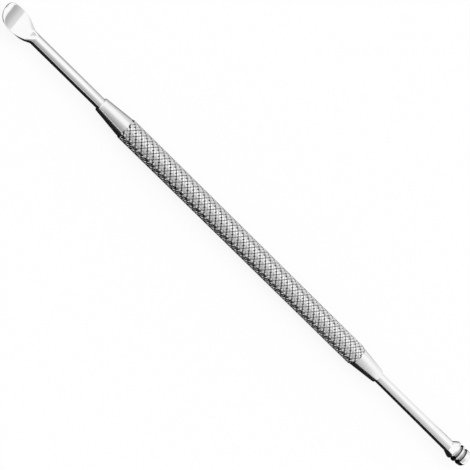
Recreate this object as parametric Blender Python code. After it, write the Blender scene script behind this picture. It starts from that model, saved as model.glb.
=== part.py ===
"""Stainless steel ear pick: a knurled handle with a scoop at one end and a ringed head at the other.

Everything is in metres with +Z up. The tool lies along X on the surface z = 0, scoop at -X and face up,
and the origin is on that surface, under the middle of its length.
"""

from math import acos, atan2, ceil, cos, hypot, pi, radians, sin, tan

import bmesh
import bpy
from mathutils import Matrix, Vector

MM = 0.001

# Handle: a bar with a knurled grip between two turned cones
KNURL_LENGTH = 71.4 * MM
KNURL_CREST_D = 4.9 * MM
KNURL_PITCH = 0.845 * MM
KNURL_STARTS = 16
KNURL_DEEP = 0.24 * MM
KNURL_SHALLOW = 0.15 * MM
KNURL_RUNOUT = 0.2 * MM
CONE_LENGTH = 6.6 * MM
CONE_BASE_D = 4.5 * MM
NOSE_D = 3.15 * MM
NOSE_ROUND = 0.22 * MM

# Bores: drilled into both ends of the handle, each with the cone that a drill leaves at its bottom
DRILL_POINT_ANGLE = radians(118)
TANG_LENGTH = 9.0 * MM
TANG_CHAMFER = 0.25 * MM
TANG_GAP = 0.04 * MM
BORE_SPARE = 0.3 * MM

# Spoon pick: a round shank whose end is flattened, widened and bent up to a scoop
SPOON_SHANK_D = 2.5 * MM
SPOON_SHANK_LENGTH = 18.3 * MM
BLADE_WIDTH = 5.85 * MM
BLADE_WIDEST = 5.05 * MM
BLADE_LENGTH = 8.75 * MM
TIP_SQUARENESS = 2.3
BLADE_FACE = 0.3 * MM
BLADE_EDGE = 0.35 * MM
FACE_SLOPE_LENGTH = 1.7 * MM
BACK_SLOPE_LENGTH = 4.2 * MM
BEND_START = 4.75 * MM
BEND_RADIUS = 6.0 * MM
LIP_HEIGHT = 0.35 * MM
LIP_WIDTH = 0.8 * MM

# Ring pick: a round shank that swells towards a turned head of three discs
RING_TANG_D = 2.45 * MM
RING_SHANK_END_D = 2.7 * MM
RING_SHANK_LENGTH = 23.65 * MM
FLARE_LENGTH = 1.25 * MM
FLARE_ROUND = 0.6 * MM
RIM_D = 4.2 * MM
RIM_WIDTH = 0.4 * MM
DISC_D = 4.1 * MM
DISC_WIDTH = 0.45 * MM
END_DISC_D = 3.9 * MM
END_DISC_WIDTH = 1.45 * MM
END_ROUND = 0.45 * MM
GROOVE_FLOOR_D = 3.1 * MM
GROOVE_WIDTH = 0.8 * MM
GROOVE_ROUND = 0.3 * MM
DISC_EDGE_ROUND = 0.12 * MM
HEAD_RISE = 0.2 * MM
HEAD_LEAN = radians(6)

# Smoothness of the turned and formed surfaces
SIDES = 2 * KNURL_STARTS
ARC_STEPS = 3
NECK_STATIONS = 9
TIP_STATIONS = 9
TIP_LAST_ANGLE = radians(84)
SECTION_SQUARENESS = 7.0
SHARP_ANGLE = radians(30)
MERGE_DISTANCE = 1e-6

# Sizes that follow from those above
AXIS_Z = KNURL_CREST_D / 2 * cos(pi / SIDES)
BEND_ANGLE = (BLADE_LENGTH - BEND_START) / BEND_RADIUS
SPOON_REACH = SPOON_SHANK_LENGTH + BEND_START + (BEND_RADIUS + BLADE_EDGE) * sin(BEND_ANGLE)
HEAD_LENGTH = FLARE_LENGTH + RIM_WIDTH + DISC_WIDTH + END_DISC_WIDTH + 2 * GROOVE_WIDTH
RING_REACH = (
    RING_SHANK_LENGTH
    + HEAD_LENGTH * cos(HEAD_LEAN)
    + (END_DISC_D / 2 - END_ROUND) * sin(HEAD_LEAN)
)
HANDLE_LENGTH = KNURL_LENGTH + 2 * CONE_LENGTH
SPOON_NOSE_X = SPOON_REACH - (SPOON_REACH + HANDLE_LENGTH + RING_REACH) / 2
RING_NOSE_X = SPOON_NOSE_X + HANDLE_LENGTH


def steel(name, colour, roughness):
    """A plain metal, with the colour and the gloss of one finish."""
    material = bpy.data.materials.new(name)
    material.use_nodes = True
    shader = material.node_tree.nodes["Principled BSDF"]
    shader.inputs["Base Color"].default_value = (*colour, 1.0)
    shader.inputs["Metallic"].default_value = 1.0
    shader.inputs["Roughness"].default_value = roughness
    return material


def smooth(value):
    """A soft step from 0 to 1 as the value goes from 0 to 1."""
    value = min(max(value, 0.0), 1.0)
    return value * value * (3 - 2 * value)


def outline(corners):
    """Makes a profile from corners (x, radius, rounding), with an arc at each corner that is rounded."""
    points = []
    for index, (x, radius, rounding) in enumerate(corners):
        corner = Vector((x, radius))
        if rounding == 0:
            points.append(corner)
            continue
        back = (Vector(corners[index - 1][:2]) - corner).normalized()
        ahead = (Vector(corners[index + 1][:2]) - corner).normalized()
        half = acos(back.dot(ahead)) / 2
        centre = corner + (back + ahead).normalized() * rounding / sin(half)
        spoke = corner + back * rounding / tan(half) - centre
        turn = (pi - 2 * half) * (1 if back.x * ahead.y < back.y * ahead.x else -1)
        for step in range(ARC_STEPS + 1):
            points.append(centre + Matrix.Rotation(turn * step / ARC_STEPS, 2) @ spoke)
    return points


def turned(points):
    """Spins a profile of (x, radius) points round the tool's axis: the X axis until the piece is placed."""
    bm = bmesh.new()
    chain = [bm.verts.new((x, 0, radius)) for x, radius in points]
    edges = [bm.edges.new(pair) for pair in zip(chain, chain[1:])]
    bmesh.ops.spin(
        bm,
        geom=chain + edges,
        cent=(0, 0, 0),
        axis=(1, 0, 0),
        angle=2 * pi,
        steps=SIDES,
        use_merge=True,
    )
    bmesh.ops.remove_doubles(bm, verts=bm.verts, dist=MERGE_DISTANCE)
    return bm


def place(bm, name, material):
    """Turns the finished form into an object that lies on the surface."""
    bmesh.ops.triangulate(bm, faces=bm.faces)
    bmesh.ops.recalc_face_normals(bm, faces=bm.faces)
    bmesh.ops.translate(bm, verts=bm.verts, vec=(0, 0, AXIS_Z))
    mesh = bpy.data.meshes.new(name)
    bm.to_mesh(mesh)
    bm.free()
    mesh.materials.append(material)
    mesh.shade_smooth()
    mesh.set_sharp_from_angle(angle=SHARP_ANGLE)
    piece = bpy.data.objects.new(name, mesh)
    bpy.context.scene.collection.objects.link(piece)
    return piece


def bored_end(nose_x, inward, tang_radius):
    """Profile of one end of the handle, from the bottom of its bore to the large end of its cone."""
    bore_radius = tang_radius + TANG_GAP
    floor_x = nose_x + inward * (TANG_LENGTH + BORE_SPARE)
    point_x = floor_x + inward * bore_radius / tan(DRILL_POINT_ANGLE / 2)
    base_x = nose_x + inward * CONE_LENGTH
    corners = [
        (point_x, 0, 0),
        (floor_x, bore_radius, 0),
        (nose_x, bore_radius, 0),
        (nose_x, NOSE_D / 2, NOSE_ROUND),
        (base_x, CONE_BASE_D / 2, 0),
    ]
    return outline(corners)


def cut_knurl(bm, first_x, row_step):
    """Presses down the places where grooves cross: every second groove of each way is shallower."""
    valleys = []
    for vert in bm.verts:
        radius = hypot(vert.co.y, vert.co.z)
        if radius < KNURL_CREST_D / 2 - MERGE_DISTANCE:
            continue
        row = round((vert.co.x - first_x) / row_step)
        column = round(atan2(vert.co.y, vert.co.z) / (2 * pi / SIDES)) % SIDES
        if (row + column) % 2:
            continue
        right_hand = (row + column) // 2
        left_hand = (row - column) // 2
        both_shallow = right_hand % 2 and left_hand % 2
        depth = KNURL_SHALLOW if both_shallow else KNURL_DEEP
        vert.co.yz *= (radius - depth) / radius
        valleys.append(vert)
    bmesh.ops.connect_verts(bm, verts=valleys)


def handle(material):
    """One bar: knurled in the middle, coned and bored at both ends, and lying on two rows of its crests."""
    rows = 2 * ceil(KNURL_LENGTH / KNURL_PITCH)
    first_x = SPOON_NOSE_X + CONE_LENGTH + KNURL_RUNOUT
    row_step = (KNURL_LENGTH - 2 * KNURL_RUNOUT) / rows
    knurl = [Vector((first_x + row * row_step, KNURL_CREST_D / 2)) for row in range(rows + 1)]
    spoon_end = bored_end(SPOON_NOSE_X, 1, SPOON_SHANK_D / 2)
    ring_end = bored_end(RING_NOSE_X, -1, RING_TANG_D / 2)
    bm = turned(spoon_end + knurl + ring_end[::-1])
    cut_knurl(bm, first_x, row_step)
    half_column = Matrix.Rotation(pi / SIDES, 3, "X")
    bmesh.ops.rotate(bm, verts=bm.verts, cent=(0, 0, 0), matrix=half_column)
    return place(bm, "handle", material)


def blade_half_width(u):
    """Half the blade's width at u, the length along it from the end of the round shank."""
    if u < BLADE_WIDEST:
        widening = sin(pi / 2 * u / BLADE_WIDEST)
        return SPOON_SHANK_D / 2 + (BLADE_WIDTH - SPOON_SHANK_D) / 2 * widening
    past = (u - BLADE_WIDEST) / (BLADE_LENGTH - BLADE_WIDEST)
    return BLADE_WIDTH / 2 * (1 - past**TIP_SQUARENESS) ** (1 / TIP_SQUARENESS)


def lip(u, y):
    """How far the rim stands up from the face at a place on the blade: highest at the edge past the bend."""
    past = max(u - BLADE_WIDEST, 0) / (BLADE_LENGTH - BLADE_WIDEST)
    from_centre = hypot(past, y / (BLADE_WIDTH / 2))
    inside_edge = (1 - from_centre) * BLADE_WIDTH / 2
    return LIP_HEIGHT * smooth(1 - inside_edge / LIP_WIDTH) * smooth((u - BEND_START) / LIP_WIDTH)


def blade_point(u, angle):
    """A point of the blade's section at u, at an angle round it, after the bend."""
    radius = SPOON_SHANK_D / 2
    face = radius + (BLADE_FACE - radius) * smooth(u / FACE_SLOPE_LENGTH)
    back = -radius + (BLADE_FACE - BLADE_EDGE + radius) * smooth(u / BACK_SLOPE_LENGTH)
    squareness = 2 + (SECTION_SQUARENESS - 2) * smooth(u / BACK_SLOPE_LENGTH)
    across = cos(angle)
    y = blade_half_width(u) * across
    top = face + lip(u, y)
    bulge = (1 - abs(across) ** squareness) ** (1 / squareness)
    upward = 1 if sin(angle) >= 0 else -1
    z = (top + back) / 2 + upward * bulge * (top - back) / 2
    bend = max(u - BEND_START, 0) / BEND_RADIUS
    above_face = z - BLADE_FACE
    along = min(u, BEND_START) + (BEND_RADIUS - above_face) * sin(bend)
    height = BLADE_FACE + BEND_RADIUS - (BEND_RADIUS - above_face) * cos(bend)
    return Vector((SPOON_NOSE_X - SPOON_SHANK_LENGTH - along, y, height))


def spoon_pick(material):
    """Tang, round shank and scoop: a round bar whose end is then pressed to the blade's sections and bent."""
    radius = SPOON_SHANK_D / 2
    tang_x = SPOON_NOSE_X + TANG_LENGTH
    neck_x = SPOON_NOSE_X - SPOON_SHANK_LENGTH
    neck = [BLADE_WIDEST * station / NECK_STATIONS for station in range(NECK_STATIONS + 1)]
    tip_angles = [TIP_LAST_ANGLE * (station + 1) / TIP_STATIONS for station in range(TIP_STATIONS)]
    tip = [BLADE_WIDEST + (BLADE_LENGTH - BLADE_WIDEST) * sin(angle) for angle in tip_angles]
    bar = [(tang_x, radius - TANG_CHAMFER), (tang_x - TANG_CHAMFER, radius)]
    bm = turned(bar + [(neck_x - u, radius) for u in neck + tip])
    for vert in bm.verts:
        u = neck_x - vert.co.x
        if u > MERGE_DISTANCE:
            vert.co = blade_point(u, atan2(vert.co.z, vert.co.y))
    bmesh.ops.holes_fill(bm, edges=bm.edges)
    return place(bm, "spoon_pick", material)


def ring_pick(material):
    """Tang, swelling shank and the turned head, which sits a little above the shank's axis and leans up."""
    tang_x = RING_NOSE_X - TANG_LENGTH
    tang_radius = RING_TANG_D / 2
    foot_x = RING_NOSE_X + RING_SHANK_LENGTH
    rim_x = foot_x + FLARE_LENGTH
    disc_x = rim_x + RIM_WIDTH + GROOVE_WIDTH
    end_disc_x = disc_x + DISC_WIDTH + GROOVE_WIDTH
    end_x = end_disc_x + END_DISC_WIDTH
    floor_radius = GROOVE_FLOOR_D / 2
    corners = [
        (tang_x, 0, 0),
        (tang_x, tang_radius - TANG_CHAMFER, 0),
        (tang_x + TANG_CHAMFER, tang_radius, 0),
        (RING_NOSE_X, tang_radius, 0),
        (foot_x, RING_SHANK_END_D / 2, FLARE_ROUND),
        (rim_x, RIM_D / 2, DISC_EDGE_ROUND),
        (rim_x + RIM_WIDTH, RIM_D / 2, DISC_EDGE_ROUND),
        (rim_x + RIM_WIDTH, floor_radius, GROOVE_ROUND),
        (disc_x, floor_radius, GROOVE_ROUND),
        (disc_x, DISC_D / 2, DISC_EDGE_ROUND),
        (disc_x + DISC_WIDTH, DISC_D / 2, DISC_EDGE_ROUND),
        (disc_x + DISC_WIDTH, floor_radius, GROOVE_ROUND),
        (end_disc_x, floor_radius, GROOVE_ROUND),
        (end_disc_x, END_DISC_D / 2, DISC_EDGE_ROUND),
        (end_x, END_DISC_D / 2, END_ROUND),
        (end_x, 0, 0),
    ]
    bm = turned(outline(corners))
    for vert in bm.verts:
        share = smooth((vert.co.x - foot_x) / FLARE_LENGTH)
        if share == 0:
            continue
        offset = Vector((vert.co.x - foot_x, vert.co.y, vert.co.z))
        offset.rotate(Matrix.Rotation(-HEAD_LEAN * share, 3, "Y"))
        vert.co = Vector((foot_x, 0, HEAD_RISE * share)) + offset
    return place(bm, "ring_pick", material)


for old in list(bpy.data.objects):
    bpy.data.objects.remove(old)

satin_steel = steel("satin_steel", (0.72, 0.72, 0.73), 0.28)
polished_steel = steel("polished_steel", (0.80, 0.80, 0.81), 0.10)

handle(satin_steel)
spoon_pick(polished_steel)
ring_pick(polished_steel)
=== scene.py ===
# %% [markdown]
# # A stainless steel ear pick, dressed for its photograph
# The tool is one knurled bar with a small scoop pressed into one end and a ringed head pressed into the
# other. It lies on a white table in an even white room, with grey and black cards round it. Polished
# steel has almost no colour of its own: it shows the cards, so half of this lesson is about them.

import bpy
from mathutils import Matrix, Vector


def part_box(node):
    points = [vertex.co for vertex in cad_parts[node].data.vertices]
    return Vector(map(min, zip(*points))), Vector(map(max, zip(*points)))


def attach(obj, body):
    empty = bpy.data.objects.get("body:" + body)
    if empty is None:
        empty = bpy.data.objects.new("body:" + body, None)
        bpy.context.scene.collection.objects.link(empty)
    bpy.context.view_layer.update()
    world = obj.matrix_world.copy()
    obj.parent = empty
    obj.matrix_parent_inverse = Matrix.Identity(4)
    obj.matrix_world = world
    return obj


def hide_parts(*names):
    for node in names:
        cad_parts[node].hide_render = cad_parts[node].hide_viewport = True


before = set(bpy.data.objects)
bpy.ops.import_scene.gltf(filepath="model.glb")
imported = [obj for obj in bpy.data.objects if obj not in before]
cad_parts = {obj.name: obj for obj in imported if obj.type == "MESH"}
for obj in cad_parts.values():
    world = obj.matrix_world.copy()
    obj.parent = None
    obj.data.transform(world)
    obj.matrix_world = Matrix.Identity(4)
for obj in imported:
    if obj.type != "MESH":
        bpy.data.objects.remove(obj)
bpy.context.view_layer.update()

# %% [markdown]
# ## Where the tool lies
# The frame says where every node is. The handle's box gives the three numbers that all the pieces share:
# the height of the tool's axis above the table, and the places of the two noses that the picks go into.

# %% Read the shared places from the frame
from math import atan, atan2, cos, hypot, pi, radians, sin, tan

import bmesh
import bpy
from mathutils import Matrix, Vector

MM = 0.001
handle_low, handle_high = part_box("handle")
AXIS_Z = (handle_low.z + handle_high.z) / 2
SPOON_NOSE_X = handle_low.x
RING_NOSE_X = handle_high.x
print("axis %.3f mm up, noses at %.2f and %.2f mm" % (AXIS_Z / MM, SPOON_NOSE_X / MM, RING_NOSE_X / MM))

# %% [markdown]
# ## The camera
# The photographer looked down at the tool from the side and turned the camera until the tool ran from
# corner to corner. A long lens at about a third of a metre makes the near end, the scoop's, only a little
# larger than the far one. The grip looks thinner by a small share with every pixel towards the head, and
# the tool's slant away from the lens follows from that share. The camera's three directions are worked
# out from the angles, and a matrix built from three directions and a place turns a camera without any
# guessing at Euler angles.

# %% Place the camera
PHOTO_WIDTH = 470
FOCAL_PIXELS = 1632
SHRINKING_PER_PIXEL = 0.000189
SLANT = atan(SHRINKING_PER_PIXEL * FOCAL_PIXELS)
ROLL = radians(35)
TURN = radians(44.53)
MM_PER_PIXEL = 0.2072
AIM_FROM_NOSE = 39.33 * MM
AIM_ABOVE_AXIS_PIXELS = 0.7

along, nearer, upright = Vector((1, 0, 0)), Vector((0, -1, 0)), Vector((0, 0, 1))
facing = cos(ROLL) * upright + sin(ROLL) * nearer
across = cos(ROLL) * nearer - sin(ROLL) * upright
slanted = cos(SLANT) * along + sin(SLANT) * facing
looking = sin(SLANT) * along - cos(SLANT) * facing
right = cos(TURN) * slanted - sin(TURN) * across
above = -sin(TURN) * slanted - cos(TURN) * across

camera_data = bpy.data.cameras.new("camera")
camera_data.lens = FOCAL_PIXELS / PHOTO_WIDTH * camera_data.sensor_width
camera = bpy.data.objects.new("camera", camera_data)
aim = Vector((SPOON_NOSE_X + AIM_FROM_NOSE, 0, AXIS_Z))
aim -= across * AIM_ABOVE_AXIS_PIXELS * MM_PER_PIXEL * MM
view_matrix = Matrix((right, above, -looking)).transposed().to_4x4()
view_matrix.translation = aim - looking * MM_PER_PIXEL * FOCAL_PIXELS * MM
camera.matrix_world = view_matrix
bpy.context.scene.collection.objects.link(camera)
bpy.context.scene.camera = camera
print("camera %.0f mm away, lens %.0f mm" % ((camera.location - aim).length / MM, camera_data.lens))

# %% [markdown]
# ## Turned forms
# Everything on this tool starts on a lathe: a straight bar whose surface is cut while it spins. Spin does
# the same thing to a few points: it sweeps them round the axis and leaves a surface. The lathe's small
# rounded corners come afterwards, from a bevel on the ring of edges at that corner.

# %% Helpers for turned forms
SAME_PLACE = 1e-7


def turn(profile, sides):
    """Sweeps (x, radius) points round the X axis."""
    bm = bmesh.new()
    chain = [bm.verts.new((x, 0, radius)) for x, radius in profile]
    edges = [bm.edges.new(pair) for pair in zip(chain, chain[1:])]
    bmesh.ops.spin(
        bm,
        geom=chain + edges,
        cent=(0, 0, 0),
        axis=(1, 0, 0),
        angle=2 * pi,
        steps=sides,
        use_merge=True,
    )
    bmesh.ops.remove_doubles(bm, verts=bm.verts, dist=SAME_PLACE)
    bmesh.ops.recalc_face_normals(bm, faces=bm.faces)
    return bm


def ring_of_edges(bm, x, radius):
    """The edges that go once round the axis at this place on the profile."""
    def is_here(vert):
        off_radius = abs(hypot(vert.co.y, vert.co.z) - radius)
        return abs(vert.co.x - x) < SAME_PLACE and off_radius < SAME_PLACE
    return [edge for edge in bm.edges if all(is_here(vert) for vert in edge.verts)]


def round_corner(bm, x, radius, setback, segments=4):
    """Rounds one corner of a turned form; setback is how far from the corner the curve starts."""
    bmesh.ops.bevel(
        bm,
        geom=ring_of_edges(bm, x, radius),
        offset=setback,
        segments=segments,
        profile=0.5,
        affect="EDGES",
        material=-1,
    )


def smooth(value):
    """A soft step from 0 to 1."""
    value = min(max(value, 0.0), 1.0)
    return value * value * (3 - 2 * value)


# %% [markdown]
# ## Making a piece
# A finished bmesh becomes an object at the origin, with its place in its mesh. It rides on the frame's one
# body and stands in for the plainer CAD node, which is hidden. Faces are shaded smooth, and the
# edges that turn sharply are marked, so that a flat stays flat and a curve stays round.

# %% Helper that turns a bmesh into a piece
SHARP_FROM = radians(32)


def make_piece(bm, name, node, materials):
    """Puts a finished bmesh into the scene in the place of a CAD node."""
    bmesh.ops.recalc_face_normals(bm, faces=bm.faces)
    bmesh.ops.translate(bm, verts=bm.verts, vec=(0, 0, AXIS_Z))
    mesh = bpy.data.meshes.new(name)
    bm.to_mesh(mesh)
    bm.free()
    for material in materials:
        mesh.materials.append(material)
    mesh.shade_smooth()
    mesh.set_sharp_from_angle(angle=SHARP_FROM)
    piece = bpy.data.objects.new(name, mesh)
    bpy.context.scene.collection.objects.link(piece)
    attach(piece, "root")
    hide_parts(node)
    triangles = sum(len(face.vertices) - 2 for face in mesh.polygons)
    print(name, "has", len(mesh.polygons), "faces,", triangles, "triangles")


# %% [markdown]
# ## The steels
# The shanks, scoop and head are polished: a bright metal with faint lines left by the buffing wheel along
# the tool. The head's two grooves get painted shade: their floors a mid-grey steel and their walls a
# nearly black one. The cones are turned, so their lines go round. All patterns read Object coordinates,
# which are metres here, so a pattern is stretched by giving the Mapping node a large number across the
# lines and a small one along them.

# %% Helper for a steel's node tree
class SteelNodes:
    """A metal material whose nodes are added one by one."""

    def __init__(self, name):
        self.material = bpy.data.materials.new(name)
        self.material.use_nodes = True
        self.tree = self.material.node_tree
        self.shader = self.tree.nodes["Principled BSDF"]
        self.shader.inputs["Metallic"].default_value = 1.0
        self.place = self.add("ShaderNodeTexCoord").outputs["Object"]

    def add(self, kind, settings=(), **inputs):
        """Adds a node; an input goes by its name, or by its place as i0, i1 and so on."""
        node = self.tree.nodes.new(kind)
        for key, value in dict(settings).items():
            setattr(node, key, value)
        for key, value in inputs.items():
            by_place = key[0] == "i" and key[1:].isdigit()
            socket = node.inputs[int(key[1:]) if by_place else key]
            if isinstance(value, bpy.types.NodeSocket):
                self.tree.links.new(value, socket)
            else:
                socket.default_value = value
        return node

    def grain(self, stretch, detail=3.0):
        """Noise that is stretched by a different amount along each axis."""
        moved = self.add("ShaderNodeMapping", Vector=self.place, Scale=stretch)
        noise = self.add("ShaderNodeTexNoise", Vector=moved.outputs[0], Scale=1.0, Detail=detail)
        return noise.outputs[0]

    def between(self, value, low, high, from_low=0.3, from_high=0.7):
        """Maps a pattern to a range of values."""
        node = self.add("ShaderNodeMapRange", i0=value, i1=from_low, i2=from_high, i3=low, i4=high)
        return node.outputs[0]

    def shades(self, value, dark, bright):
        """Mixes two colours by a pattern; bright may be another mix."""
        if not isinstance(bright, bpy.types.NodeSocket):
            bright = (*bright, 1)
        node = self.add("ShaderNodeMix", {"data_type": "RGBA"}, i0=value, i6=(*dark, 1), i7=bright)
        return node.outputs[2]

    def maths(self, operation, *values):
        """One sum on patterns and numbers."""
        by_place = {"i%d" % place: value for place, value in enumerate(values)}
        return self.add("ShaderNodeMath", {"operation": operation}, **by_place).outputs[0]

    def split(self, vector, axis):
        return self.add("ShaderNodeSeparateXYZ", Vector=vector).outputs[axis]

    def link(self, value, name):
        self.tree.links.new(value, self.shader.inputs[name])

    def relief(self, height, strength, distance):
        """Lets a pattern tilt the shine a little."""
        bump = self.add("ShaderNodeBump", Strength=strength, Distance=distance, Height=height)
        self.link(bump.outputs[0], "Normal")


# %% Polished steel for the scoop, the shanks and the head
polished = SteelNodes("polished_steel")
buffing = polished.grain((60, 16000, 16000))
smudges = polished.grain((350, 900, 900), detail=2.0)
polished.link(polished.shades(smudges, (0.935, 0.935, 0.937), (0.975, 0.975, 0.975)), "Base Color")
wear = polished.maths("ADD", polished.between(buffing, 0.0, 0.03), polished.between(smudges, 0.05, 0.08))
polished.link(wear, "Roughness")
polished.relief(buffing, strength=0.06, distance=0.00002)
print(polished.material.name, "has", len(polished.tree.nodes), "nodes")

# %% Painted shade for the grooves in the head: a grey steel for the floors and a nearly black one for the walls
# Both groove steels are painted shade: their dark base colours stand in for the shade that falls in the
# grooves.
floor_shade = SteelNodes("shaded_floor_steel")
floor_shade_grain = floor_shade.grain((2500, 2500, 2500))
floor_shade.link(floor_shade.shades(floor_shade_grain, (0.42, 0.42, 0.42), (0.52, 0.52, 0.52)), "Base Color")
floor_shade.link(floor_shade.between(floor_shade_grain, 0.06, 0.12), "Roughness")

wall_shade = SteelNodes("shaded_wall_steel")
wall_shade_grain = wall_shade.grain((2500, 2500, 2500))
wall_shade.link(wall_shade.shades(wall_shade_grain, (0.16, 0.16, 0.16), (0.26, 0.26, 0.26)), "Base Color")
wall_shade.link(wall_shade.between(wall_shade_grain, 0.1, 0.2), "Roughness")
print(floor_shade.material.name, "and", wall_shade.material.name, "are ready")

# %% Turned steel for the handle's two cones
turned_steel = SteelNodes("turned_steel")
rings = turned_steel.grain((18000, 90, 90))
stains = turned_steel.grain((500, 900, 900), detail=2.0)
turned_steel.link(turned_steel.shades(stains, (0.9, 0.9, 0.902), (0.95, 0.95, 0.95)), "Base Color")
turned_steel.link(turned_steel.between(rings, 0.16, 0.24), "Roughness")
turned_steel.relief(rings, strength=0.1, distance=0.00002)
print(turned_steel.material.name, "has", len(turned_steel.tree.nodes), "nodes")

# %% [markdown]
# ## Painted shade in the knurl
# Painted shade sits in the grip's grooves, and the knurl's own pattern tells where. One value says how high
# a place stands, from 0 on a groove's floor to 1 on a diamond's flat. Two more count the rows along the grip
# and the columns round it. Their sum stays the same along the grooves that slant one way, and their
# difference along those that slant the other way, and ping-pong turns each into the distance from the
# nearest groove. Every second groove is deeper, and in the photograph the darkest strokes lie in those.

# %% The grip's sizes
KNURL_LENGTH = 71.4 * MM
KNURL_ROWS = 170
KNURL_COLUMNS = 32
RUNOUT = 0.2 * MM
CONE_LENGTH = 6.6 * MM
GROOVE_RADIUS = 2.27 * MM
FLAT_RADIUS = 2.43 * MM
first_x = SPOON_NOSE_X + CONE_LENGTH + RUNOUT
row_step = (KNURL_LENGTH - 2 * RUNOUT) / KNURL_ROWS
print("a row of the knurl every %.2f mm" % (row_step / MM))

# %% Knurled steel: where a place lies on the knurl
FLAT_MARGIN = 0.01 * MM
HALF_COLUMN = 0.5

knurled_steel = SteelNodes("knurled_steel")
off_axis = knurled_steel.add(
    "ShaderNodeMapping", Vector=knurled_steel.place, Location=(0, 0, -AXIS_Z), Scale=(0, 1, 1)
).outputs[0]
radius = knurled_steel.add("ShaderNodeVectorMath", {"operation": "LENGTH"}, i0=off_axis).outputs["Value"]
raised = knurled_steel.between(radius, 0.0, 1.0, GROOVE_RADIUS, FLAT_RADIUS - FLAT_MARGIN)

from_first_row = knurled_steel.maths("SUBTRACT", knurled_steel.split(knurled_steel.place, 0), first_x)
rows_along = knurled_steel.maths("DIVIDE", from_first_row, row_step)
sideways, upwards = knurled_steel.split(off_axis, 1), knurled_steel.split(off_axis, 2)
round_it = knurled_steel.maths("ARCTAN2", sideways, upwards)
columns_round = knurled_steel.maths("MULTIPLY_ADD", round_it, KNURL_COLUMNS / (2 * pi), HALF_COLUMN)

# %% Knurled steel: the painted shade in the grooves
def unshaded_beside(direction, spacing, least, narrow, wide, reach):
    """1 away from the grooves and less in them, where shade is painted; reach takes the painted shade up
    their walls.
    """
    slope = knurled_steel.maths(direction, rows_along, columns_round)
    off_groove = knurled_steel.maths("PINGPONG", slope, spacing)
    beside = knurled_steel.between(off_groove, least, 1.0, narrow, wide)
    return knurled_steel.maths("MAXIMUM", beside, knurled_steel.maths("POWER", raised, reach))


every_groove = unshaded_beside("ADD", spacing=1.0, least=0.8, narrow=0.2, wide=0.55, reach=1.0)
deep_grooves = unshaded_beside("ADD", spacing=2.0, least=0.0, narrow=0.35, wide=1.1, reach=4.0)
deep_crossing = unshaded_beside("SUBTRACT", spacing=2.0, least=0.62, narrow=0.3, wide=0.8, reach=3.0)
unshaded_one_way = knurled_steel.maths("MINIMUM", every_groove, deep_grooves)
unshaded = knurled_steel.maths("MINIMUM", unshaded_one_way, deep_crossing)

# %% Knurled steel: colour, roughness and unevenness
tarnish = knurled_steel.grain((900, 1500, 1500), detail=4.0)
bright_steel = knurled_steel.shades(tarnish, (0.94, 0.94, 0.942), (0.985, 0.985, 0.985))
# Faint painted shade: the grooves keep the darkest grey, and the diamonds' tops get the lighter mix.
faintly_shaded_steel = knurled_steel.shades(raised, (0.94, 0.94, 0.94), bright_steel)
# Painted shade: the colour goes near-black in the grooves, where the mask is low.
knurled_steel.link(knurled_steel.shades(unshaded, (0.02, 0.02, 0.02), faintly_shaded_steel), "Base Color")
knurled_steel.link(knurled_steel.between(raised, 0.2, 0.07, 0.0, 1.0), "Roughness")
knurled_steel.relief(knurled_steel.grain((3000, 3000, 3000), detail=2.0), strength=0.6, distance=0.00006)
print(knurled_steel.material.name, "has", len(knurled_steel.tree.nodes), "nodes")

# %% [markdown]
# ## The grip
# A knurling tool presses two sets of slanted grooves into the bar, and small diamonds stand up between
# them. Some 2,700 diamonds by hand would be slow, and a bump texture would leave the outline smooth.
# Here the bar is turned as a lattice with as many columns as the knurl has crossings. Every second vertex
# is a place where two grooves cross. Those are joined by slanted edges, the vertices between them are
# dissolved, and each face that is left is the foot of one diamond, ready to be inset and raised. Only the
# half diamonds at both ends stay flat.

# %% Turn the lattice and press down the crossings
CONE_BASE_RADIUS = 2.25 * MM
CREST_RADIUS = 2.45 * MM
DEEP, SHALLOW = 0.21 * MM, 0.14 * MM

grip = turn([(first_x + row * row_step, CREST_RADIUS) for row in range(KNURL_ROWS + 1)], KNURL_COLUMNS)

crossings, crests = [], []
for vert in grip.verts:
    row = round((vert.co.x - first_x) / row_step)
    column = round(atan2(vert.co.y, vert.co.z) / (2 * pi / KNURL_COLUMNS)) % KNURL_COLUMNS
    if (row + column) % 2:
        if 0 < row < KNURL_ROWS:
            crests.append(vert)
        continue
    both_shallow = (row + column) // 2 % 2 and (row - column) // 2 % 2
    vert.co.yz *= 1 - (SHALLOW if both_shallow else DEEP) / CREST_RADIUS
    crossings.append(vert)
bmesh.ops.connect_verts(grip, verts=crossings)
bmesh.ops.dissolve_verts(grip, verts=crests)
print(len(crossings), "crossings,", len(grip.faces), "feet of diamonds")

# %% Raise the diamonds: steep walls, a chamfer and a rim round the flat
WALLS = (0.12 * MM, 0.19 * MM)
CHAMFER = (0.04 * MM, 0.02 * MM)
FLAT_RIM = (0.02 * MM, 0.004 * MM)

diamonds = [face for face in grip.faces if len(face.verts) == 4]
for thickness, depth in (WALLS, CHAMFER, FLAT_RIM):
    bmesh.ops.inset_individual(grip, faces=diamonds, thickness=thickness, depth=depth)
tallest = max(hypot(vert.co.y, vert.co.z) for vert in grip.verts)
print(len(diamonds), "diamonds, tallest", round(tallest / MM, 3), "mm from the axis")

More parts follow.
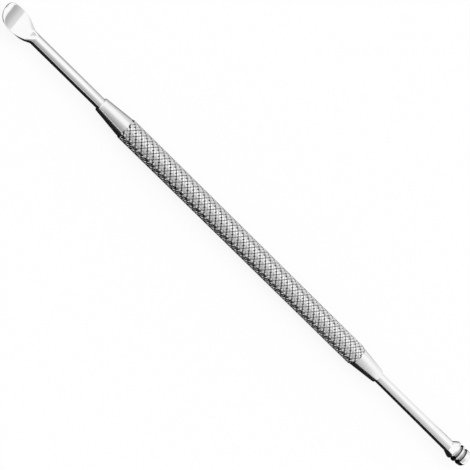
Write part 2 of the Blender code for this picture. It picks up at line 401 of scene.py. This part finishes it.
# %% Let the knurl run out at both ends and turn it so that it lies on two rows of crests
FADE = 0.4 * MM
KNURLED = 1
last_x = first_x + KNURL_ROWS * row_step
for vert in grip.verts:
    radius_here = hypot(vert.co.y, vert.co.z)
    from_end = min(vert.co.x - first_x, last_x - vert.co.x)
    wanted = CONE_BASE_RADIUS + (min(radius_here, FLAT_RADIUS) - CONE_BASE_RADIUS) * smooth(from_end / FADE)
    vert.co.yz *= wanted / radius_here
bmesh.ops.rotate(grip, verts=grip.verts, cent=(0, 0, 0), matrix=Matrix.Rotation(pi / KNURL_COLUMNS, 3, "X"))
for face in grip.faces:
    face.material_index = KNURLED
print("the grip runs from %.1f to %.1f mm" % (first_x / MM, last_x / MM))

# %% [markdown]
# ## The two cones
# Each end of the handle tapers to a short nose with a bore, and the shank of a pick is pressed into it.
# The cones need more sides than the lattice has columns, or their reflections would show flats. So each
# is turned by itself, and bridge_loops joins its open rim to the lattice, although the counts differ.

# %% Turn the cones and join them to the grip
CONE_SIDES = 96
NOSE_RADIUS, NOSE_ROUNDING = 1.575 * MM, 0.2 * MM
BORE_DEPTH, BORE_CLEARANCE = 9.3 * MM, 0.04 * MM
DRILL_POINT = radians(59)
SHANK_RADIUS, RING_TANG_RADIUS = 1.25 * MM, 1.225 * MM


def add_cone(nose_x, inward, tang_radius):
    bore_radius = tang_radius + BORE_CLEARANCE
    point_x = nose_x + inward * (BORE_DEPTH + bore_radius / tan(DRILL_POINT))
    base_x = nose_x + inward * CONE_LENGTH
    profile = [
        (point_x, 0),
        (nose_x + inward * BORE_DEPTH, bore_radius),
        (nose_x, bore_radius),
        (nose_x, NOSE_RADIUS),
        (base_x, CONE_BASE_RADIUS),
    ]
    cone = turn(profile, CONE_SIDES)
    round_corner(cone, nose_x, NOSE_RADIUS, NOSE_ROUNDING)
    part = bpy.data.meshes.new("cone")
    cone.to_mesh(part)
    cone.free()
    grip.from_mesh(part)
    bpy.data.meshes.remove(part)
    rims = [edge for edge in grip.edges if edge.is_boundary and abs(edge.verts[0].co.x - base_x) < MM]
    bmesh.ops.bridge_loops(grip, edges=rims)


add_cone(SPOON_NOSE_X, 1, SHANK_RADIUS)
add_cone(RING_NOSE_X, -1, RING_TANG_RADIUS)
print("open edges:", sum(edge.is_boundary for edge in grip.edges))
make_piece(grip, "handle_bar", "handle", [turned_steel.material, knurled_steel.material])

# %% [markdown]
# ## The scoop
# The scoop is forged from the round shank: the end is pressed flat, which makes it wide, and is then bent
# up. A sculpted or subdivided plate would need its join with the round shank patched. Here the bar stays
# one turned form with many rings of vertices, and each ring is moved to the blade's section at its place.
# A section is a superellipse: with a squareness of 2 it is round, and with 7 it is nearly a slab.

# %% The blade's outline
SHANK_LENGTH = 18.3 * MM
BLADE_WIDTH, BLADE_WIDEST, BLADE_LENGTH = 5.85 * MM, 5.05 * MM, 8.74 * MM
TIP_SQUARENESS = 2.3
NECK_EASE = 1.2 * MM
neck_x = SPOON_NOSE_X - SHANK_LENGTH


def half_width(u):
    """Half the blade's width at u, the length along it from the end of the round shank."""
    if u < BLADE_WIDEST:
        eased = u - NECK_EASE / 2 if u > NECK_EASE else u * u / (2 * NECK_EASE)
        spread = sin(pi / 2 * eased / (BLADE_WIDEST - NECK_EASE / 2))
        return SHANK_RADIUS + (BLADE_WIDTH / 2 - SHANK_RADIUS) * spread
    past = (u - BLADE_WIDEST) / (BLADE_LENGTH - BLADE_WIDEST)
    return BLADE_WIDTH / 2 * (1 - past**TIP_SQUARENESS) ** (1 / TIP_SQUARENESS)


print("the blade is %.2f mm wide half-way to its widest place" % (2 * half_width(BLADE_WIDEST / 2) / MM))

# %% The blade's sections
BLADE_FACE, BLADE_EDGE = 0.3 * MM, 0.35 * MM
FACE_SLOPE, BACK_SLOPE, SIDE_SLOPE = 1.7 * MM, 4.2 * MM, 2 * MM
BEND_START, BEND_RADIUS = 4.75 * MM, 6.0 * MM
ROUND, EXTRA_SQUARENESS = 2, 5
THIN_FROM, THINNING = 2.6 * MM, 1.6 * MM
THIN_UNTIL, THICKENING = 6.2 * MM, 1.2 * MM
RIM_LIFT, RIM_ROUNDNESS = 0.42, 0.9


def bulge(angle, squareness):
    """How high a superellipse of radius 1 stands at an angle."""
    return (1 - abs(cos(angle)) ** squareness) ** (1 / squareness)


def pressed(u, angle):
    """Where a point of the round bar goes, u along the blade and at an angle round it."""
    flattening = smooth(u / BACK_SLOPE)
    face = SHANK_RADIUS + (BLADE_FACE - SHANK_RADIUS) * smooth(u / FACE_SLOPE)
    back = -SHANK_RADIUS + (BLADE_FACE - BLADE_EDGE + SHANK_RADIUS) * flattening
    thin_rim = smooth((u - THIN_FROM) / THINNING) * (1 - smooth((u - THIN_UNTIL) / THICKENING))
    rim = (face + back) / 2 + thin_rim * RIM_LIFT * (face - back)
    y = half_width(u) * cos(angle)
    if sin(angle) >= 0:
        z = rim + (face - rim) * bulge(angle, ROUND + EXTRA_SQUARENESS * flattening)
    else:
        extra = EXTRA_SQUARENESS * smooth(u / SIDE_SLOPE) * (1 - RIM_ROUNDNESS * thin_rim)
        z = rim - (rim - back) * bulge(angle, ROUND + extra)
    bend = max(u - BEND_START, 0) / BEND_RADIUS
    arm = BEND_RADIUS - (z - BLADE_FACE)
    reach = min(u, BEND_START) + arm * sin(bend)
    return Vector((neck_x - reach, y, BLADE_FACE + BEND_RADIUS - arm * cos(bend)))


# %% Turn the bar, press its end and close the small hole that the last ring leaves at the tip
SPOON_SIDES = 96
NECK_RINGS, TIP_RINGS = 30, 26
LAST_RING = radians(84)
TANG_LENGTH, TANG_CHAMFER = 9 * MM, 0.25 * MM
PAST_NECK = 1e-6

rings_at = [BLADE_WIDEST * ring / NECK_RINGS for ring in range(NECK_RINGS + 1)]
for ring in range(1, TIP_RINGS + 1):
    rings_at.append(BLADE_WIDEST + (BLADE_LENGTH - BLADE_WIDEST) * sin(LAST_RING * ring / TIP_RINGS))
tang_x = SPOON_NOSE_X + TANG_LENGTH
bar = [(tang_x, SHANK_RADIUS - TANG_CHAMFER), (tang_x - TANG_CHAMFER, SHANK_RADIUS)]
spoon = turn(bar + [(neck_x - u, SHANK_RADIUS) for u in rings_at], SPOON_SIDES)
for vert in spoon.verts:
    u = neck_x - vert.co.x
    if u > PAST_NECK:
        vert.co = pressed(u, atan2(vert.co.z, vert.co.y))
bmesh.ops.holes_fill(spoon, edges=spoon.edges)
make_piece(spoon, "scoop_and_shank", "spoon_pick", [polished.material])

# %% [markdown]
# ## The ringed head
# The other pick swells towards a head with three discs and two rounded grooves, all turned in one go. In
# the photograph the head sits a touch above the shank's line, so its rings of vertices are lifted and
# leaned together after the turning, a little more the further they are past the shank. The grooves' faces
# carry painted shade: the floors get a mid-grey steel and the steep walls a nearly black one, while the head
# is still straight and a face's slope is easy to read.

# %% The head's sizes and its corners
RING_SHANK_END_RADIUS = 1.35 * MM
FLARE, RIM, GROOVE, DISC, END_DISC = 1.25 * MM, 0.4 * MM, 0.8 * MM, 0.45 * MM, 1.45 * MM
RIM_RADIUS, DISC_RADIUS, END_RADIUS, FLOOR_RADIUS = 2.1 * MM, 2.05 * MM, 1.95 * MM, 1.55 * MM
TAPER_START, TAPER = 0.4 * MM, 0.16 * MM
EDGE, HOLLOW = 0.12 * MM, 0.28 * MM
FOOT_EASE, FLARE_EDGE, TAPER_EDGE, END_EDGE = 0.17 * MM, 0.1 * MM, 0.2 * MM, 0.55 * MM
foot_x = RING_NOSE_X + 23.65 * MM
rim_x = foot_x + FLARE
disc_x = rim_x + RIM + GROOVE
end_disc_x = disc_x + DISC + GROOVE
end_x = end_disc_x + END_DISC
tang_end = RING_NOSE_X - TANG_LENGTH

# (x, radius, how far the rounding is set back from the corner)
corners = [
    (tang_end, 0, 0),
    (tang_end, RING_TANG_RADIUS - TANG_CHAMFER, 0),
    (tang_end + TANG_CHAMFER, RING_TANG_RADIUS, 0),
    (RING_NOSE_X, RING_TANG_RADIUS, 0),
    (foot_x, RING_SHANK_END_RADIUS, FOOT_EASE),
    (rim_x, RIM_RADIUS, FLARE_EDGE),
    (rim_x + RIM, RIM_RADIUS, EDGE),
    (rim_x + RIM, FLOOR_RADIUS, HOLLOW),
    (disc_x, FLOOR_RADIUS, HOLLOW),
    (disc_x, DISC_RADIUS, EDGE),
    (disc_x + DISC, DISC_RADIUS, EDGE),
    (disc_x + DISC, FLOOR_RADIUS, HOLLOW),
    (end_disc_x, FLOOR_RADIUS, HOLLOW),
    (end_disc_x, END_RADIUS, EDGE),
    (end_disc_x + TAPER_START, END_RADIUS, TAPER_EDGE),
    (end_x, END_RADIUS - TAPER, END_EDGE),
    (end_x, 0, 0),
]
print("the head's profile has", len(corners), "corners and ends at %.2f mm" % (end_x / MM))

# %% Turn the head and round its corners
HEAD_SIDES = 128
CURVE_STEPS = 5
head = turn([(x, radius) for x, radius, setback in corners], HEAD_SIDES)
for x, radius, setback in corners:
    if setback:
        round_corner(head, x, radius, setback, segments=CURVE_STEPS)
print("the head has", len(head.faces), "faces")

# %% Paint shade into the two grooves: grey steel on the floors and nearly black steel on the walls
SHADED_FLOOR, SHADED_WALL = 1, 2
GROOVE_MARGIN = 0.05 * MM
GROOVE_TOP = 1.93 * MM
WALL_STEEPNESS = 0.45
# The groove faces found here get the two darker steels, which are painted shade.
for face in head.faces:
    middle = face.calc_center_median()
    between_rims = rim_x + RIM - GROOVE_MARGIN < middle.x < end_disc_x + GROOVE_MARGIN
    if between_rims and hypot(middle.y, middle.z) < GROOVE_TOP:
        face.material_index = SHADED_WALL if abs(face.normal.x) > WALL_STEEPNESS else SHADED_FLOOR
print(sum(face.material_index > 0 for face in head.faces), "faces lie in the grooves")

# %% Lift and lean the head
HEAD_RISE, HEAD_LEAN = 0.2 * MM, radians(6)
for vert in head.verts:
    share = smooth((vert.co.x - foot_x) / FLARE)
    if share > 0:
        offset = Vector((vert.co.x - foot_x, vert.co.y, vert.co.z))
        offset.rotate(Matrix.Rotation(-HEAD_LEAN * share, 3, "Y"))
        vert.co = Vector((foot_x, 0, HEAD_RISE * share)) + offset
head_steels = [polished.material, floor_shade.material, wall_shade.material]
make_piece(head, "ringed_head_and_shank", "ring_pick", head_steels)

# %% [markdown]
# ## The white table
# The table is a white diffuse sheet in an even white world, which lights the tool from all round. Rays from
# the camera, and rays that come off metal, see most of it as plain white. The small rest keeps the soft
# shadow that the tool throws.

# %% Make the world and the table's white
SHADOW_KEPT = 0.12
TABLE_WHITE = (0.97, 0.97, 0.97, 1)

world = bpy.data.worlds.new("white_room")
world.use_nodes = True
world.node_tree.nodes["Background"].inputs["Color"].default_value = (1, 1, 1, 1)
bpy.context.scene.world = world
bpy.context.scene.view_settings.view_transform = "Standard"

white = bpy.data.materials.new("white_table")
white.use_nodes = True
tree = white.node_tree
tree.nodes.remove(tree.nodes["Principled BSDF"])
diffuse = tree.nodes.new("ShaderNodeBsdfDiffuse")
diffuse.inputs["Color"].default_value = TABLE_WHITE
glow = tree.nodes.new("ShaderNodeEmission")
path = tree.nodes.new("ShaderNodeLightPath")
seen = path.outputs["Is Camera Ray"]
for kind in ("Is Glossy Ray", "Is Transmission Ray"):
    either = tree.nodes.new("ShaderNodeMath")
    either.operation = "MAXIMUM"
    tree.links.new(seen, either.inputs[0])
    tree.links.new(path.outputs[kind], either.inputs[1])
    seen = either.outputs[0]
share = tree.nodes.new("ShaderNodeMath")
share.operation = "MULTIPLY"
share.inputs[1].default_value = 1 - SHADOW_KEPT
tree.links.new(seen, share.inputs[0])
mix = tree.nodes.new("ShaderNodeMixShader")
tree.links.new(share.outputs[0], mix.inputs[0])
tree.links.new(diffuse.outputs[0], mix.inputs[1])
tree.links.new(glow.outputs[0], mix.inputs[2])
tree.links.new(mix.outputs[0], tree.nodes["Material Output"].inputs["Surface"])
print("the table keeps", SHADOW_KEPT, "of its shadow")

# %% Lay the table
def stand(bm, name, material):
    """Puts up a sheet that isn't part of the tool."""
    mesh = bpy.data.meshes.new(name)
    bm.to_mesh(mesh)
    bm.free()
    mesh.materials.append(material)
    made = bpy.data.objects.new(name, mesh)
    bpy.context.scene.collection.objects.link(made)
    return made


def flat_sheet(name, material, x_range, y_range, height=0.0):
    """A level sheet between two x and two y."""
    bm = bmesh.new()
    bmesh.ops.create_grid(bm, x_segments=1, y_segments=1, size=0.5)
    bmesh.ops.scale(bm, verts=bm.verts, vec=(x_range[1] - x_range[0], y_range[1] - y_range[0], 1))
    bmesh.ops.translate(bm, verts=bm.verts, vec=(sum(x_range) / 2, sum(y_range) / 2, height))
    return stand(bm, name, material)


TABLE_REACH = 3
flat_sheet("table", white, (-TABLE_REACH, TABLE_REACH), (-TABLE_REACH, TABLE_REACH))
print("the table reaches", TABLE_REACH, "m each way")

# %% [markdown]
# ## Cards
# A mirror in an even white room is white itself and has no shape. A photographer hangs grey and black cards
# round it, and the tool's form is drawn by their reflections. The cards here show only in reflections:
# they cast no shadow, leave the table's own light alone and never stand in the picture.

# %% Helpers for painted cards
def only_in_reflections(card):
    card.visible_camera = False
    card.visible_diffuse = False
    card.visible_transmission = False
    card.visible_shadow = False


class Paint:
    """An unlit card colour that is worked out from the place on the card."""

    def __init__(self, name):
        self.material = bpy.data.materials.new(name)
        self.material.use_nodes = True
        self.tree = self.material.node_tree
        self.tree.nodes.remove(self.tree.nodes["Principled BSDF"])
        self.shine = self.tree.nodes.new("ShaderNodeEmission")
        self.tree.links.new(self.shine.outputs[0], self.tree.nodes["Material Output"].inputs["Surface"])
        split = self.tree.nodes.new("ShaderNodeSeparateXYZ")
        self.tree.links.new(self.tree.nodes.new("ShaderNodeTexCoord").outputs["Object"], split.inputs[0])
        self.x, self.y, self.z = split.outputs

    def put(self, value, socket):
        """Gives a socket a link, a grey or a number."""
        if isinstance(value, bpy.types.NodeSocket):
            self.tree.links.new(value, socket)
        elif socket.type == "RGBA":
            socket.default_value = (value, value, value, 1)
        else:
            socket.default_value = value

    def maths(self, operation, first, second=0.0):
        node = self.tree.nodes.new("ShaderNodeMath")
        node.operation = operation
        self.put(first, node.inputs[0])
        self.put(second, node.inputs[1])
        return node.outputs[0]

    def step(self, value, start, end):
        """0 at the start, 1 at the end and soft between them; the end may be the smaller one."""
        node = self.tree.nodes.new("ShaderNodeMapRange")
        node.interpolation_type = "SMOOTHSTEP"
        low, high = min(start, end), max(start, end)
        for socket, number in zip(("From Min", "From Max", "To Min", "To Max"),
                                  (low, high, float(end < start), float(end > start))):
            node.inputs[socket].default_value = number
        self.put(value, node.inputs["Value"])
        return node.outputs[0]

    def blend(self, share, first, second):
        """The first grey where the share is 0 and the second where it is 1."""
        node = self.tree.nodes.new("ShaderNodeMix")
        node.data_type = "RGBA"
        self.put(share, node.inputs[0])
        self.put(first, node.inputs[6])
        self.put(second, node.inputs[7])
        return node.outputs[2]

    def finish(self, colour):
        self.put(colour, self.shine.inputs["Color"])
        return self.material


# %% [markdown]
# ## The grey walls
# A long round bar mirrors a thin strip of its surroundings: what counts is the angle round the bar. So the
# walls are one tunnel round the tool's line, from the near floor over the top to the far floor, and a
# colour ramp over that angle paints them. The photograph's left shank shows darker walls than its right
# shank, so there are two ramps, mixed along the tunnel. It is wide, so that each place on the tool sees
# nearly the same walls. Far towards the head and behind the scoop the walls are white, but for the far
# corner behind the scoop, which stays grey and shades the scoop's neck.

# %% Paint the two strips
walls = Paint("grey_walls")
angle = walls.maths("ARCTAN2", walls.z, walls.maths("MULTIPLY", walls.y, -1.0))
half_turns = walls.maths("DIVIDE", angle, pi)


def strip(shades):
    """A colour ramp whose stops are (degrees above the near horizon, brightness)."""
    node = walls.tree.nodes.new("ShaderNodeValToRGB")
    walls.put(half_turns, node.inputs[0])
    stops = node.color_ramp.elements
    while len(stops) < len(shades):
        stops.new(0.5)
    for stop, (degrees, level) in zip(stops, shades):
        stop.position = degrees / 180
        stop.color = (level, level, level, 1)
    print("a strip of", len(shades), "greys")
    return node.outputs[0]


towards_scoop = strip((
    (0, 0.24), (10, 0.34), (21, 0.4), (39, 0.51), (57, 0.62), (76, 0.95), (84, 1.0), (126, 1.0), (135, 0.85),
    (149, 0.72), (166, 0.58), (180, 0.5),
))
towards_head = strip((
    (0, 0.3), (12, 0.56), (24, 0.62), (43, 0.66), (61, 0.74), (80, 0.9), (92, 1.0), (128, 1.0), (137, 0.93),
    (150, 0.9), (166, 0.85), (180, 0.8),
))

# %% Mix them along the tunnel and put it up
TUNNEL_RADIUS = 1.5
TUNNEL_ENDS = (-2.0, 3.0)
TUNNEL_PANELS = 90
STRIPS_CHANGE = (0.05, 0.85)
WHITE_PAST_HEAD = (1.12, 1.6)
WHITE_PAST_SCOOP = (-0.28, -0.5)
CORNER_ENDS = (-1.35, -1.1)
NEAR_SIDE = (0.3, -0.2)

round_about = walls.blend(walls.step(walls.x, *STRIPS_CHANGE), towards_scoop, towards_head)
not_far_corner = walls.maths("MAXIMUM", walls.step(walls.x, *CORNER_ENDS), walls.step(walls.y, *NEAR_SIDE))
scoop_end = walls.maths("MULTIPLY", walls.step(walls.x, *WHITE_PAST_SCOOP), not_far_corner)
white_ends = walls.maths("MAXIMUM", walls.step(walls.x, *WHITE_PAST_HEAD), scoop_end)
wall_paint = walls.finish(walls.blend(white_ends, round_about, 1.0))

tunnel = bmesh.new()
ends = [tunnel.verts.new((x, -TUNNEL_RADIUS, 0)) for x in TUNNEL_ENDS]
rail = tunnel.edges.new(ends)
bmesh.ops.spin(tunnel, geom=ends + [rail], axis=(1, 0, 0), angle=-pi, steps=TUNNEL_PANELS)
print("tunnel of", len(tunnel.faces), "panels")
only_in_reflections(stand(tunnel, "grey_walls", wall_paint))

# %% [markdown]
# ## Dark cloth on the table
# The black band along the tool's lower edge is black cloth, laid in front of the tool and just under it.
# It turns grey further out. Behind the tool lies a grey cloth, which draws the thin grey line along the
# upper edge. It is lighter behind the right shank, and behind the head it has a black patch, for the black
# tops of the rings' grooves.

# %% Lay the black cloth in front
BLACK = 0.012
CLOTH_START_X = -1.5
CLOTH_HEIGHT = 0.00006
UNDER_TOOL_Y = 0.0012
FRONT_END_X = 0.079
FRONT_EDGE_Y, FRONT_EDGE_GREY = -0.03, 0.15
TURNS_GREY_Y = -0.006

cloth = Paint("cloth_in_front")
in_front = flat_sheet(
    "cloth_in_front",
    cloth.finish(cloth.blend(cloth.step(cloth.y, TURNS_GREY_Y, FRONT_EDGE_Y), BLACK, FRONT_EDGE_GREY)),
    (CLOTH_START_X, FRONT_END_X), (FRONT_EDGE_Y, UNDER_TOOL_Y), CLOTH_HEIGHT,
)
only_in_reflections(in_front)
print(in_front.name, "is %.1f mm wide" % ((UNDER_TOOL_Y - FRONT_EDGE_Y) / MM))

# %% Lay the grey cloth behind, with its black patch
BEHIND_END_X, BEHIND_EDGE_Y = 0.078, 1.5
BEHIND_GREY, LIGHTER_GREY = 0.28, 0.85
TURNS_LIGHTER_X = (0.04, 0.047)
PATCH_NEAR_Y, PATCH_FAR_Y = (0.003, 0.004), (0.017, 0.015)
PATCH_FROM_X = (0.063, 0.064)

cloth = Paint("cloth_behind")
near_edge, far_edge = cloth.step(cloth.y, *PATCH_NEAR_Y), cloth.step(cloth.y, *PATCH_FAR_Y)
patch_rows = cloth.maths("MULTIPLY", near_edge, far_edge)
black_patch = cloth.maths("MULTIPLY", patch_rows, cloth.step(cloth.x, *PATCH_FROM_X))
greys = cloth.blend(cloth.step(cloth.x, *TURNS_LIGHTER_X), BEHIND_GREY, LIGHTER_GREY)
behind = flat_sheet(
    "cloth_behind",
    cloth.finish(cloth.blend(black_patch, greys, BLACK)),
    (CLOTH_START_X, BEHIND_END_X), (UNDER_TOOL_Y, BEHIND_EDGE_Y), CLOTH_HEIGHT,
)
only_in_reflections(behind)
print(behind.name, "is %.2f m wide" % (BEHIND_EDGE_Y - UNDER_TOOL_Y))

# %% [markdown]
# ## Two hanging cards
# Where the scoop bends up, the photograph shows a grey band with one soft and one sharp edge. It is a card
# of its own, hung a little way behind the tool, and darker towards the head. The thin dark outline round the
# scoop's tip and round the end of the head faces along the tool, so it shows a black card far past the head.
# Both cards are made by pulling one edge upwards.

# %% Hang the two cards
def hang(name, paint, corners, height):
    """A card that stands on the line between two corners."""
    bm = bmesh.new()
    edge = bm.edges.new([bm.verts.new(corner) for corner in corners])
    pulled = bmesh.ops.extrude_edge_only(bm, edges=[edge])
    upper = [item for item in pulled["geom"] if isinstance(item, bmesh.types.BMVert)]
    bmesh.ops.translate(bm, verts=upper, vec=(0, 0, height))
    card = stand(bm, name, paint)
    only_in_reflections(card)
    print(name, "hangs", height, "m high")


SCOOP_CARD_START_X, SCOOP_CARD_END_X = -0.02, 0.12
SCOOP_CARD_Y, SCOOP_CARD_Z, SCOOP_CARD_HEIGHT = 0.15, 0.1, 0.135
LIGHT_END, DARK_END = 0.72, 0.42
shaded = Paint("scoop_card")
shaded_paint = shaded.finish(shaded.blend(shaded.step(shaded.x, 0.0, SCOOP_CARD_END_X), LIGHT_END, DARK_END))
card_foot = [(x, SCOOP_CARD_Y, SCOOP_CARD_Z) for x in (SCOOP_CARD_START_X, SCOOP_CARD_END_X)]
hang("scoop_card", shaded_paint, card_foot, SCOOP_CARD_HEIGHT)

END_CARD_X, END_CARD_SIDE, END_CARD_HEIGHT = 2.9, 0.6, 0.55
END_CARD_BLACK = 0.02
card_foot = [(END_CARD_X, y, 0) for y in (-END_CARD_SIDE, END_CARD_SIDE)]
hang("black_card", Paint("black_card").finish(END_CARD_BLACK), card_foot, END_CARD_HEIGHT)
